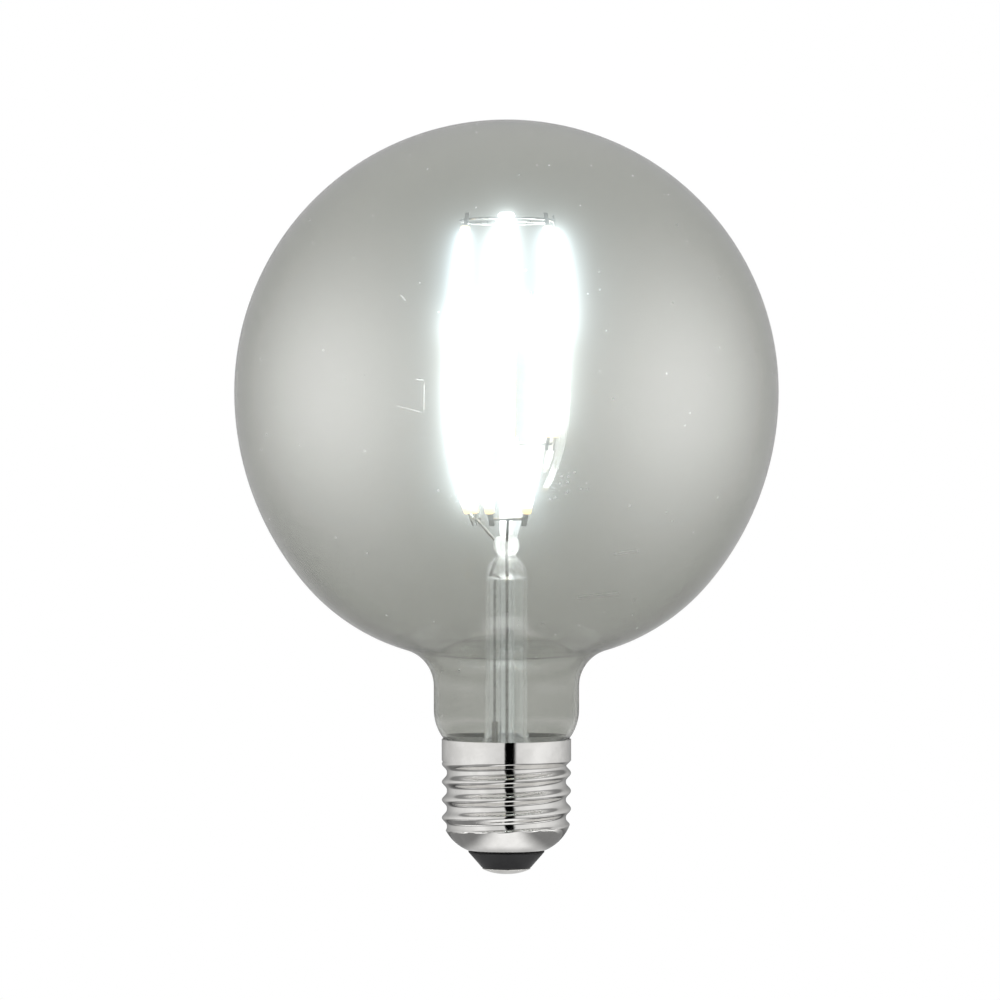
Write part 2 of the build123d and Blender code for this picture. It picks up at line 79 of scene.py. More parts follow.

# %% [markdown]
# ## Small helpers
#
# Frame loading leaves the imported nodes selected, so every step begins by clearing the selection.
# A finished piece rides on the lamp's one body, stands for its imported node, which it hides, and
# gets its finish.

# %% Selection, finishing and arcs
def fresh_start():
    if bpy.context.mode != "OBJECT":
        bpy.ops.object.mode_set(mode="OBJECT")
    bpy.ops.object.select_all(action="DESELECT")


def pick_only(piece):
    fresh_start()
    piece.select_set(True)
    bpy.context.view_layer.objects.active = piece


def settle(piece, node, material, smooth_angle=40):
    """Places a finished piece in the frame, smooths it and gives it its finish."""
    pick_only(piece)
    bpy.ops.object.transform_apply(location=True, rotation=True, scale=True)
    bpy.ops.object.shade_smooth_by_angle(angle=math.radians(smooth_angle))
    piece.data.materials.clear()
    piece.data.materials.append(material)
    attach(piece, "root")
    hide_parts(node)
    print(piece.name, "stands for", node, "with", len(piece.data.polygons), "faces")


def arc(centre, radius, start, end, steps):
    """Points (radius, height) on an arc between two angles in degrees above level."""
    angles = [math.radians(start + (end - start) * step / steps) for step in range(steps + 1)]
    return [(centre[0] + radius * math.cos(angle), centre[1] + radius * math.sin(angle)) for angle in angles]


def arc_through(first, middle, last, steps):
    """Points on the arc through three points of an outline."""
    (ax, ay), (bx, by), (cx, cy) = first, middle, last
    divisor = 2 * (ax * (by - cy) + bx * (cy - ay) + cx * (ay - by))
    a_square, b_square, c_square = ax * ax + ay * ay, bx * bx + by * by, cx * cx + cy * cy
    x = (a_square * (by - cy) + b_square * (cy - ay) + c_square * (ay - by)) / divisor
    y = (a_square * (cx - bx) + b_square * (ax - cx) + c_square * (bx - ax)) / divisor
    start = math.degrees(math.atan2(ay - y, ax - x))
    turns = [math.degrees(math.atan2(py - y, px - x)) - start for px, py in (middle, last)]
    turns = [(turn + 180) % 360 - 180 for turn in turns]
    if turns[1] * turns[0] < 0:
        turns[1] -= math.copysign(360, turns[1])
    return arc((x, y), math.hypot(ax - x, ay - y), start, start + turns[1], steps)


# %% [markdown]
# ## A lathe
#
# Blown glass, turned metal and drawn tube are all round about one axis. By hand one would draw half
# of the section, one point after another, and spin it once round Z. The helper does just that: a
# tiny plane is merged to one point, the point is extruded along the outline, and the spin sweeps it.
# The doubled seam and the points on the axis are merged before the normals are made to agree.

# %% The lathe
def turned(name, outline, steps):
    fresh_start()
    bpy.ops.mesh.primitive_plane_add(size=mm, location=(0, 0, 0))
    piece = bpy.context.object
    piece.name = piece.data.name = name
    bpy.ops.object.mode_set(mode="EDIT")
    bpy.ops.mesh.select_all(action="SELECT")
    bpy.ops.mesh.merge(type="CENTER")
    bpy.ops.transform.translate(value=(outline[0][0], 0, outline[0][1]))
    for here, there in zip(outline, outline[1:]):
        step = (there[0] - here[0], 0, there[1] - here[1])
        bpy.ops.mesh.extrude_vertices_move(TRANSFORM_OT_translate={"value": step})
    bpy.ops.mesh.select_all(action="SELECT")
    bpy.ops.mesh.spin(steps=steps, angle=2 * math.pi, center=(0, 0, 0), axis=(0, 0, 1))
    bpy.ops.mesh.select_all(action="SELECT")
    bpy.ops.mesh.remove_doubles(threshold=0.002 * mm)
    bpy.ops.mesh.normals_make_consistent(inside=False)
    bpy.ops.object.mode_set(mode="OBJECT")
    return piece


# %% [markdown]
# ## Camera and studio
#
# The photograph looks level at the middle of the lamp through a long lens. It was lit for glass:
# a white field behind, and a very large soft light at each side, a little towards the camera. The
# sky holds all of that as one smooth pattern, so reflections carry no noise. What is seen straight,
# or through glass, is the white field alone.

# %% Camera
camera_data = bpy.data.cameras.new("camera")
camera = bpy.data.objects.new("camera", camera_data)
bpy.context.scene.collection.objects.link(camera)
bpy.context.scene.camera = camera
camera_data.lens = 145.8
camera_data.sensor_width = 36
camera_data.clip_start = 0.01
camera.location = (-1.3 * mm, -820 * mm, 75.6 * mm)
camera.rotation_euler = (math.radians(90), 0, 0)
print("camera", tuple(round(value, 4) for value in camera.location))

# %% Node helpers
def node(tree, kind, **settings):
    """Adds a node; settings that name a socket fill it, the others are the node's own."""
    new = tree.nodes.new(kind)
    for key, value in settings.items():
        if hasattr(new, key):
            setattr(new, key, value)
        else:
            new.inputs[key].default_value = value
    return new


def wire(tree, source, target):
    tree.links.new(source, target)


def maths(tree, operation, first, second=None):
    """A Math node on sockets or plain numbers; gives its output socket."""
    new = tree.nodes.new("ShaderNodeMath")
    new.operation = operation
    for socket, value in zip(new.inputs, (first, second)):
        if isinstance(value, (int, float)):
            socket.default_value = value
        elif value is not None:
            tree.links.new(value, socket)
    return new.outputs[0]


def ramped(tree, value, low, high, out_low=0.0, out_high=1.0):
    """A smooth step from out_low at low to out_high at high."""
    new = tree.nodes.new("ShaderNodeMapRange")
    new.interpolation_type = "SMOOTHSTEP"
    for name, number in (("From Min", low), ("From Max", high), ("To Min", out_low), ("To Max", out_high)):
        new.inputs[name].default_value = number
    tree.links.new(value, new.inputs["Value"])
    return new.outputs["Result"]


def blended(tree, factor, first, second):
    """A colour mix by a factor's socket; a colour may be a socket or four numbers."""
    new = tree.nodes.new("ShaderNodeMix")
    new.data_type = "RGBA"
    tree.links.new(factor, new.inputs["Factor"])
    for socket, value in ((new.inputs[6], first), (new.inputs[7], second)):
        if isinstance(value, tuple):
            socket.default_value = value
        else:
            tree.links.new(value, socket)
    return new.outputs[2]


def frame_place(tree):
    """The X, Y and Z sockets of a point in the frame; a piece's mesh holds its place there."""
    coords = node(tree, "ShaderNodeTexCoord")
    parts = node(tree, "ShaderNodeSeparateXYZ")
    wire(tree, coords.outputs["Object"], parts.inputs[0])
    return parts.outputs


# %% Studio sky
world = bpy.data.worlds.new("studio")
bpy.context.scene.world = world
world.use_nodes = True
sky = world.node_tree
sky.nodes.clear()
direction = node(sky, "ShaderNodeTexCoord")
parts = node(sky, "ShaderNodeSeparateXYZ")
wire(sky, direction.outputs["Generated"], parts.inputs[0])
across, depth, height = parts.outputs
sideways = maths(sky, "ABSOLUTE", across)
room = ramped(sky, depth, -0.9, 0.2, 0.25, 0.45)
room = maths(sky, "MULTIPLY", room, ramped(sky, height, -0.5, -0.1, 0.4, 1.0))
ceiling = ramped(sky, height, 0.35, 0.95, 0.0, 0.2)
# Each soft light is strongest in its own middle, and fades as a power of the cosine away from it.
light_angle = math.radians(73)
light_fall = 3.5
light_strength = 3.9
towards = maths(sky, "MULTIPLY", sideways, math.sin(light_angle))
behind = maths(sky, "MULTIPLY", depth, math.cos(light_angle))
facing = maths(sky, "MAXIMUM", maths(sky, "SUBTRACT", towards, behind), 0.0)
soft_light = maths(sky, "MULTIPLY", maths(sky, "POWER", facing, light_fall), light_strength)
studio = maths(sky, "ADD", maths(sky, "ADD", room, ceiling), soft_light)
light_path = node(sky, "ShaderNodeLightPath")
seen = light_path.outputs["Is Camera Ray"]
through = light_path.outputs["Is Transmission Ray"]
field = maths(sky, "MULTIPLY", ramped(sky, depth, 0.1, 0.7, 0.6, 1.0), through)
mirrored = maths(sky, "SUBTRACT", 1.0, maths(sky, "MAXIMUM", seen, through))
strength = maths(sky, "ADD", maths(sky, "ADD", seen, field), maths(sky, "MULTIPLY", studio, mirrored))
background = node(sky, "ShaderNodeBackground", Color=(1, 1, 1, 1))
wire(sky, strength, background.inputs["Strength"])
sky_out = node(sky, "ShaderNodeOutputWorld")
wire(sky, background.outputs[0], sky_out.inputs["Surface"])
print("sky with", len(sky.nodes), "nodes")

# %% [markdown]
# ## Floor
#
# A plain white sweep: it glows evenly instead of being lit, so it stays pure white without a
# horizon, and no light through the glass can speckle it. Reflections see the studio's sky instead,
# but for a small round card under the cap, which lights the metal's nose from below.

# %% Floor
fresh_start()
bpy.ops.mesh.primitive_plane_add(size=6, location=(0, 0, 0))
floor = bpy.context.object
floor.name = "white_floor"
bpy.ops.object.mode_set(mode="EDIT")
bpy.ops.mesh.subdivide(number_cuts=3)
bpy.ops.object.mode_set(mode="OBJECT")
floor_finish = bpy.data.materials.new("white_sweep")
floor_finish.use_nodes = True
tree = floor_finish.node_tree
tree.nodes.clear()
floor_path = node(tree, "ShaderNodeLightPath")
glow = node(tree, "ShaderNodeEmission", Color=(1, 1, 1, 1), Strength=1.0)
unseen = node(tree, "ShaderNodeBsdfTransparent")
either = node(tree, "ShaderNodeMixShader")
floor_coords = node(tree, "ShaderNodeTexCoord")
floor_parts = node(tree, "ShaderNodeSeparateXYZ")
wire(tree, floor_coords.outputs["Object"], floor_parts.inputs[0])
reach = node(tree, "ShaderNodeVectorMath", operation="LENGTH")
wire(tree, floor_coords.outputs["Object"], reach.inputs[0])
seen = floor_path.outputs["Is Camera Ray"]
card_radius = 22 * mm
card = maths(tree, "LESS_THAN", reach.outputs["Value"], card_radius)
card = maths(tree, "MULTIPLY", card, floor_path.outputs["Is Glossy Ray"])
card_tone = ramped(tree, maths(tree, "ABSOLUTE", floor_parts.outputs[0]), 3 * mm, 13 * mm, 1.1, 0.25)
middle_tone = ramped(tree, reach.outputs["Value"], 5 * mm, 10 * mm, 0.55, 1.0)
card_tone = maths(tree, "MULTIPLY", card_tone, middle_tone)
wire(tree, maths(tree, "ADD", seen, maths(tree, "MULTIPLY", card, card_tone)), glow.inputs["Strength"])
wire(tree, maths(tree, "MAXIMUM", seen, card), either.inputs[0])
wire(tree, unseen.outputs[0], either.inputs[1])
wire(tree, glow.outputs[0], either.inputs[2])
floor_out = node(tree, "ShaderNodeOutputMaterial")
wire(tree, either.outputs[0], floor_out.inputs["Surface"])
floor.data.materials.append(floor_finish)

# %% [markdown]
# ## Flags round the cap
#
# Bright metal mirrors everything, so a photographer hides the lights from it. Two curved white
# cards stand round the cap and the neck, out of sight, and are modelled as one open cylinder that
# glows on its inside. The narrow gap between them at the front gives the metal its one black stripe.
# They are dimmer right at the front, towards the back, at the foot and beside the neck, and fade out
# at the head. What looks down on them sees them dimmer too, so that the globe's underside mirrors no
# hard edge of theirs.

# %% Flags
flag_radius = 26 * mm
flag_foot = 0.5 * mm
flag_head = 44.5 * mm
fresh_start()
bpy.ops.mesh.primitive_cylinder_add(
    vertices=128, radius=flag_radius, depth=flag_head - flag_foot, end_fill_type="NOTHING",
    location=(0, 0, (flag_head + flag_foot) / 2),
)
flag = bpy.context.object
flag.name = "white_flags"
bpy.ops.object.transform_apply(location=True)
flag_finish = bpy.data.materials.new("white_flag")
flag_finish.use_nodes = True
tree = flag_finish.node_tree
tree.nodes.clear()
flag_x, flag_y, flag_height = frame_place(tree)
flag_across = maths(tree, "DIVIDE", flag_x, flag_radius)
flag_depth = maths(tree, "DIVIDE", flag_y, flag_radius)
fade = maths(tree, "POWER", maths(tree, "MAXIMUM", maths(tree, "ADD", flag_depth, 0.8), 0.0), 1.3)
flag_tone = maths(tree, "SUBTRACT", 1.05, maths(tree, "MULTIPLY", fade, 0.42))
gap_left, gap_right = ramped(tree, flag_across, -0.06, -0.025), ramped(tree, flag_across, 0.25, 0.16)
gap_sides = maths(tree, "MULTIPLY", gap_left, gap_right)
gap = maths(tree, "MULTIPLY", gap_sides, maths(tree, "LESS_THAN", flag_depth, 0.0))
flag_glow = node(tree, "ShaderNodeEmission", Color=(1, 1, 1, 1))
flag_open = node(tree, "ShaderNodeBsdfTransparent")
flag_mix = node(tree, "ShaderNodeMixShader")
flag_side = node(tree, "ShaderNodeNewGeometry")
soft_edge = ramped(tree, flag_height, flag_head, flag_head - 10 * mm)
seen_from = node(tree, "ShaderNodeSeparateXYZ")
wire(tree, flag_side.outputs["Incoming"], seen_from.inputs[0])
dimmers = {
    "right at the front": ramped(tree, flag_depth, -1.0, -0.75, 0.8, 1.0),
    "in the gap": maths(tree, "SUBTRACT", 1.0, gap),
    "at the foot": ramped(tree, flag_height, flag_foot, 7 * mm, 0.4, 1.0),
    "beside the neck": ramped(tree, flag_height, 27 * mm, 31 * mm, 1.0, 0.45),
    "seen from above": ramped(tree, seen_from.outputs[2], 0.3, 0.5, 1.0, 0.4),
}
for dimmer in dimmers.values():
    flag_tone = maths(tree, "MULTIPLY", flag_tone, dimmer)
wire(tree, flag_tone, flag_glow.inputs["Strength"])
wire(tree, maths(tree, "MULTIPLY", soft_edge, flag_side.outputs["Backfacing"]), flag_mix.inputs[0])
wire(tree, flag_open.outputs[0], flag_mix.inputs[1])
wire(tree, flag_glow.outputs[0], flag_mix.inputs[2])
flag_out = node(tree, "ShaderNodeOutputMaterial")
wire(tree, flag_mix.outputs[0], flag_out.inputs["Surface"])
flag.data.materials.append(flag_finish)
flag.visible_camera = False
flag.visible_transmission = False
print("flags stand", round(flag_radius / mm), "mm from the axis")

# %% [markdown]
# ## Finishes
#
# Each finish has its own material, and an effect that several share is one node group with named
# sockets. The first group is unevenness: two sizes of noise that tint, roughen and dent a surface.

# %% Shared group: unevenness
def socket(group, name, way, kind, value=None):
    new = group.interface.new_socket(name=name, in_out=way, socket_type=kind)
    if value is not None:
        new.default_value = value


uneven = bpy.data.node_groups.new("unevenness", "ShaderNodeTree")
socket(uneven, "Scale", "INPUT", "NodeSocketFloat", 400.0)
socket(uneven, "Fine Scale", "INPUT", "NodeSocketFloat", 4000.0)
socket(uneven, "Base Roughness", "INPUT", "NodeSocketFloat", 0.3)
socket(uneven, "Spread", "INPUT", "NodeSocketFloat", 0.1)
socket(uneven, "Mask", "OUTPUT", "NodeSocketFloat")
socket(uneven, "Roughness", "OUTPUT", "NodeSocketFloat")
socket(uneven, "Height", "OUTPUT", "NodeSocketFloat")
group_in = uneven.nodes.new("NodeGroupInput")
group_out = uneven.nodes.new("NodeGroupOutput")
place = node(uneven, "ShaderNodeTexCoord")
coarse = node(uneven, "ShaderNodeTexNoise", Detail=4.0, Roughness=0.55)
fine = node(uneven, "ShaderNodeTexNoise", Detail=2.0, Roughness=0.5)
for texture, scale in ((coarse, "Scale"), (fine, "Fine Scale")):
    wire(uneven, place.outputs["Object"], texture.inputs["Vector"])
    wire(uneven, group_in.outputs[scale], texture.inputs["Scale"])
mask = ramped(uneven, coarse.outputs["Fac"], 0.35, 0.65)
wire(uneven, mask, group_out.inputs["Mask"])
offset = maths(uneven, "SUBTRACT", coarse.outputs["Fac"], 0.5)
offset = maths(uneven, "MULTIPLY", offset, group_in.outputs["Spread"])
offset = maths(uneven, "MULTIPLY", offset, 4.0)
wire(uneven, maths(uneven, "ADD", group_in.outputs["Base Roughness"], offset), group_out.inputs["Roughness"])
coarse_height = maths(uneven, "MULTIPLY", coarse.outputs["Fac"], 0.6)
fine_height = maths(uneven, "MULTIPLY", fine.outputs["Fac"], 0.4)
wire(uneven, maths(uneven, "ADD", coarse_height, fine_height), group_out.inputs["Height"])
print("group", uneven.name, "has", len(uneven.nodes), "nodes")


# %% A finish with unevenness
def finish(name, pale, dark, metallic, roughness, spread, scale, fine_scale, dent, **sockets):
    """A material whose colour, roughness and surface vary; other sockets are set plainly."""
    material = bpy.data.materials.new(name)
    material.use_nodes = True
    tree = material.node_tree
    shader = tree.nodes["Principled BSDF"]
    group = tree.nodes.new("ShaderNodeGroup")
    group.node_tree = uneven
    values = (("Scale", scale), ("Fine Scale", fine_scale), ("Base Roughness", roughness), ("Spread", spread))
    for key, value in values:
        group.inputs[key].default_value = value
    wire(tree, blended(tree, group.outputs["Mask"], (*dark, 1), (*pale, 1)), shader.inputs["Base Color"])
    wire(tree, group.outputs["Roughness"], shader.inputs["Roughness"])
    bump = node(tree, "ShaderNodeBump", Strength=0.5, Distance=dent)
    wire(tree, group.outputs["Height"], bump.inputs["Height"])
    wire(tree, bump.outputs[0], shader.inputs["Normal"])
    shader.inputs["Metallic"].default_value = metallic
    for key, value in sockets.items():
        shader.inputs[key.replace("_", " ")].default_value = value
    return material


# %% [markdown]
# ## Smoky glass
#
# The smoke is a thin dark film on the glass, so it tints a ray alike wherever the ray passes, and
# most of the tint is the surface's colour. A little is left in the glass body, which makes the long
# way through the wall at the very edge a dark line. A coat stands for the film's own faint and
# blurred mirror image. The surface is polished, with a few hairline scratches and some dust.

# %% Shared group: one hairline scratch
hairline = bpy.data.node_groups.new("hairline", "ShaderNodeTree")
socket(hairline, "Place", "INPUT", "NodeSocketVector")
socket(hairline, "Middle", "INPUT", "NodeSocketVector")
socket(hairline, "Way", "INPUT", "NodeSocketVector")
socket(hairline, "Across", "INPUT", "NodeSocketVector")
socket(hairline, "Mask", "OUTPUT", "NodeSocketFloat")
line_in = hairline.nodes.new("NodeGroupInput")
line_out = hairline.nodes.new("NodeGroupOutput")


def vector_maths(tree, operation, first, second):
    """A Vector Math node on two sockets; a dot product gives a number."""
    new = tree.nodes.new("ShaderNodeVectorMath")
    new.operation = operation
    wire(tree, first, new.inputs[0])
    wire(tree, second, new.inputs[1])
    return new.outputs["Value" if operation == "DOT_PRODUCT" else "Vector"]


# Way and Across are as long as one over the scratch's half length and half width, so that both
# products run from -1 to 1 on the scratch.
from_middle = vector_maths(hairline, "SUBTRACT", line_in.outputs["Place"], line_in.outputs["Middle"])
along_line = vector_maths(hairline, "DOT_PRODUCT", from_middle, line_in.outputs["Way"])
off_line = vector_maths(hairline, "DOT_PRODUCT", from_middle, line_in.outputs["Across"])
along_line = maths(hairline, "ABSOLUTE", along_line)
off_line = maths(hairline, "ABSOLUTE", off_line)
farther = maths(hairline, "MAXIMUM", along_line, off_line)
line_mask = maths(hairline, "MULTIPLY", maths(hairline, "SUBTRACT", 1.0, farther), 3.0)
line_mask = maths(hairline, "MINIMUM", maths(hairline, "MAXIMUM", line_mask, 0.0), 1.0)
wire(hairline, line_mask, line_out.inputs["Mask"])

# %% Marks on the globe
# Places on the front of the globe in millimetres, across from the axis and in height. Each scratch
# has its two ends and half its width, and the dust is thickest at its middle.
scratches = (
    ((-17.4, 98.5), (-15.6, 98.3), 0.14),
    ((-15.6, 98.4), (-15.7, 92.0), 0.13),
    ((-15.6, 92.1), (-21.3, 93.6), 0.12),
    ((-20.3, 114.8), (-19.1, 113.4), 0.15),
    ((19.8, 65.2), (25.9, 66.0), 0.12),
    ((11.9, 56.7), (23.4, 57.8), 0.10),
)
dust_middle, dust_reach = (10.9, 0, 78.4), 6.0


def glass_marks(tree):
    """One mask of the scratches and the dust on the globe's front."""
    coords = node(tree, "ShaderNodeTexCoord")
    scaled = node(tree, "ShaderNodeMapping")
    scaled.inputs["Scale"].default_value = (1 / mm, 0, 1 / mm)
    wire(tree, coords.outputs["Object"], scaled.inputs["Vector"])
    marks = None
    for start, end, half_width in scratches:
        run, rise = end[0] - start[0], end[1] - start[1]
        length = math.hypot(run, rise)
        line = tree.nodes.new("ShaderNodeGroup")
        line.node_tree = hairline
        wire(tree, scaled.outputs[0], line.inputs["Place"])
        line.inputs["Middle"].default_value = ((start[0] + end[0]) / 2, 0, (start[1] + end[1]) / 2)
        line.inputs["Way"].default_value = (2 * run / length**2, 0, 2 * rise / length**2)
        line.inputs["Across"].default_value = (-rise / length / half_width, 0, run / length / half_width)
        marks = line.outputs[0] if marks is None else maths(tree, "MAXIMUM", marks, line.outputs[0])
    grit = node(tree, "ShaderNodeTexVoronoi", Scale=850.0)
    wire(tree, coords.outputs["Object"], grit.inputs["Vector"])
    cell = node(tree, "ShaderNodeSeparateColor")
    wire(tree, grit.outputs["Color"], cell.inputs[0])
    away = node(tree, "ShaderNodeVectorMath", operation="DISTANCE")
    wire(tree, scaled.outputs[0], away.inputs[0])
    away.inputs[1].default_value = dust_middle
    rarity = ramped(tree, away.outputs["Value"], 0.0, dust_reach, 0.4, 0.985)
    grain = ramped(tree, grit.outputs["Distance"], 0.3, 0.15)
    dust = maths(tree, "MULTIPLY", grain, maths(tree, "GREATER_THAN", cell.outputs[0], rarity))
    front = maths(tree, "LESS_THAN", frame_place(tree)[1], 0.0)
    return maths(tree, "MULTIPLY", maths(tree, "MAXIMUM", marks, dust), front)


# %% Smoky glass
smoky = bpy.data.materials.new("smoky_glass")
smoky.use_nodes = True
tree = smoky.node_tree
shader = tree.nodes["Principled BSDF"]
shader.inputs["Base Color"].default_value = (0.700, 0.706, 0.678, 1)
shader.inputs["Transmission Weight"].default_value = 1.0
shader.inputs["IOR"].default_value = 1.5
marks = glass_marks(tree)
wire(tree, maths(tree, "ADD", maths(tree, "MULTIPLY", marks, 0.5), 0.3), shader.inputs["Coat Weight"])
shader.inputs["Coat IOR"].default_value = 2.2
shader.inputs["Coat Roughness"].default_value = 0.22
wire(tree, maths(tree, "MULTIPLY", marks, 0.3), shader.inputs["Roughness"])
smoke = node(tree, "ShaderNodeVolumeAbsorption", Density=2000.0)
smoke.inputs["Color"].default_value = (0.909, 0.910, 0.903, 1)
wire(tree, smoke.outputs[0], tree.nodes["Material Output"].inputs["Volume"])

# %% [markdown]
# ## Clear glass
#
# The stem, the exhaust tube and the rod are clear drawn glass. Their glow is painted light: an
# emission that stands in for the light of the lit filaments, which the glass pipes and which falls on
# the rod between them. It is faint and streaked along them, hardly there in the stem, more along the
# rod, and most at the rod's head. Three ramps by height give that.

# %% Clear glass
clear = bpy.data.materials.new("clear_glass")
clear.use_nodes = True
tree = clear.node_tree
shader = tree.nodes["Principled BSDF"]
shader.inputs["Base Color"].default_value = (0.97, 0.98, 0.975, 1)
shader.inputs["Transmission Weight"].default_value = 1.0
shader.inputs["IOR"].default_value = 1.5
shader.inputs["Roughness"].default_value = 0.0
shader.inputs["Coat Weight"].default_value = 1.0
shader.inputs["Coat Roughness"].default_value = 0.15
streak_place = node(tree, "ShaderNodeTexCoord")
streak_stretch = node(tree, "ShaderNodeMapping")
streak_stretch.inputs["Scale"].default_value = (900, 900, 25)
glow_streaks = node(tree, "ShaderNodeTexNoise", Scale=1.0, Detail=2.0)
wire(tree, streak_place.outputs["Object"], streak_stretch.inputs["Vector"])
wire(tree, streak_stretch.outputs[0], glow_streaks.inputs["Vector"])
glass_height = frame_place(tree)[2]
# Painted glow: ramps by height for how much stand-in filament light each part shows.
shoulder_glow = ramped(tree, glass_height, 59 * mm, 66 * mm, 0.0125, 0.11)
rod_glow = ramped(tree, glass_height, 68 * mm, 70 * mm, 0, 0.2)
head_glow = ramped(tree, glass_height, 108 * mm, 116 * mm, 0, 0.6)
rod_glow = maths(tree, "ADD", rod_glow, head_glow)
# Streaked noise times the ramps gives the painted glow's emission colour.
painted_piped_glow = ramped(tree, glow_streaks.outputs["Fac"], 0.35, 0.7, 0.4, 1.0)
painted_piped_glow = maths(tree, "MULTIPLY", painted_piped_glow, maths(tree, "ADD", shoulder_glow, rod_glow))
wire(tree, blended(tree, painted_piped_glow, (0, 0, 0, 1), (0.93, 0.97, 1.0, 1)), shader.inputs["Emission Color"])
shader.inputs["Emission Strength"].default_value = 8.0

# %% [markdown]
# ## Metals, insulator and inner finishes
#
# The cap is bright nickel, the wires are a duller plated metal, and the contact lies between them.
# The black insulator, the cement and the driver's parts differ from them in numbers alone, so one
# function makes all of these finishes. The cement's emission is painted light, a glow for the
# filaments' light that comes down the neck.

# %% Metals, insulator and inner finishes
nickel = finish(
    "nickel_shell", pale=(0.80, 0.79, 0.77), dark=(0.72, 0.71, 0.69), metallic=1.0, roughness=0.08,
    spread=0.03, scale=260, fine_scale=3000, dent=0.02 * mm,
)
plated = finish(
    "plated_wire", pale=(0.62, 0.60, 0.57), dark=(0.40, 0.38, 0.36), metallic=1.0, roughness=0.32,
    spread=0.08, scale=900, fine_scale=6000, dent=0.01 * mm,
)
bright = finish(
    "bright_contact", pale=(0.86, 0.85, 0.82), dark=(0.74, 0.73, 0.70), metallic=1.0, roughness=0.16,
    spread=0.05, scale=500, fine_scale=5000, dent=0.015 * mm,
)
black = finish(
    "black_insulator", pale=(0.014, 0.014, 0.015), dark=(0.009, 0.009, 0.010), metallic=0.0,
    roughness=0.42, spread=0.06, scale=600, fine_scale=7000, dent=0.01 * mm, Specular_IOR_Level=0.3,
)
# The cement's emission is painted light: a faint glow that stands in for the filaments' light falling on it.
cement_painted_glow_finish = finish(
    "cement", pale=(0.58, 0.54, 0.46), dark=(0.44, 0.40, 0.33), metallic=0.0, roughness=0.85,
    spread=0.05, scale=700, fine_scale=5000, dent=0.06 * mm, Emission_Color=(0.9, 0.93, 0.95, 1),
    Emission_Strength=0.5,
)
board_finish = finish(
    "board", pale=(0.03, 0.16, 0.07), dark=(0.02, 0.11, 0.05), metallic=0.0, roughness=0.35,
    spread=0.06, scale=500, fine_scale=4000, dent=0.01 * mm,
)
chip_finish = finish(
    "chip_black", pale=(0.035, 0.035, 0.037), dark=(0.02, 0.02, 0.022), metallic=0.0, roughness=0.5,
    spread=0.05, scale=900, fine_scale=9000, dent=0.01 * mm,
)
can_finish = finish(
    "capacitor_can", pale=(0.10, 0.11, 0.16), dark=(0.07, 0.08, 0.12), metallic=0.2, roughness=0.3,
    spread=0.05, scale=500, fine_scale=4000, dent=0.01 * mm,
)
resistor_finish = finish(
    "resistor_body", pale=(0.25, 0.33, 0.38), dark=(0.16, 0.22, 0.27), metallic=0.0, roughness=0.4,
    spread=0.06, scale=700, fine_scale=5000, dent=0.01 * mm,
)
sleeve_finish = finish(
    "woven_sleeve", pale=(0.80, 0.76, 0.66), dark=(0.62, 0.57, 0.47), metallic=0.0, roughness=0.9,
    spread=0.04, scale=2500, fine_scale=6000, dent=0.08 * mm,
)

# %% [markdown]
# ## Lit phosphor
#
# A lit strip is far beyond white, and bluer between its chips. Its glow stops short of the ends,
# where the yellow resin shows, and the mesh holds each point's share of the strip's length for that.
# In the photograph the glare is widest in the upper part, so the strips are brighter there, which
# shows only in how far the bloom spreads.

# %% Lit phosphor
phosphor = bpy.data.materials.new("lit_phosphor")
phosphor.use_nodes = True
tree = phosphor.node_tree
shader = tree.nodes["Principled BSDF"]
along = node(tree, "ShaderNodeAttribute", attribute_name="along")
from_end = maths(tree, "MINIMUM", along.outputs["Fac"], maths(tree, "SUBTRACT", 1.0, along.outputs["Fac"]))
lit_mask = ramped(tree, from_end, 0.012, 0.05)
chip_count = 28
chips = maths(tree, "SINE", maths(tree, "MULTIPLY", along.outputs["Fac"], chip_count * math.pi))
chips = maths(tree, "ABSOLUTE", chips)
lit_colour = blended(tree, chips, (0.70, 0.84, 1.0, 1), (0.86, 0.94, 1.0, 1))
lit_share = ramped(tree, frame_place(tree)[2], 108 * mm, 119 * mm, 0.03, 1.0)
lit_colour = blended(tree, lit_share, (0, 0, 0, 1), lit_colour)
wire(tree, blended(tree, lit_mask, (0.010, 0.0078, 0.0035, 1), lit_colour), shader.inputs["Emission Color"])
shader.inputs["Emission Strength"].default_value = 250.0
grain = node(tree, "ShaderNodeTexNoise", Scale=2600.0, Detail=3.0)
coords = node(tree, "ShaderNodeTexCoord")
wire(tree, coords.outputs["Object"], grain.inputs["Vector"])
resin = blended(tree, grain.outputs["Fac"], (0.86, 0.52, 0.12, 1), (0.95, 0.66, 0.20, 1))
wire(tree, resin, shader.inputs["Base Color"])
bump = node(tree, "ShaderNodeBump", Strength=0.4, Distance=0.03 * mm)
wire(tree, grain.outputs["Fac"], bump.inputs["Height"])
wire(tree, bump.outputs[0], shader.inputs["Normal"])
shader.inputs["Roughness"].default_value = 0.45
print("materials:", len(bpy.data.materials))

# %% [markdown]
# ## Glass globe
#
# The globe is blown in a mould, and its wall is even. The outline runs down the outside from the
# crown to the tail that sits in the cap, and back up the inside one wall in. Both skins are needed:
# it is the two of them that give glass its double lines at the neck and its bright edge.

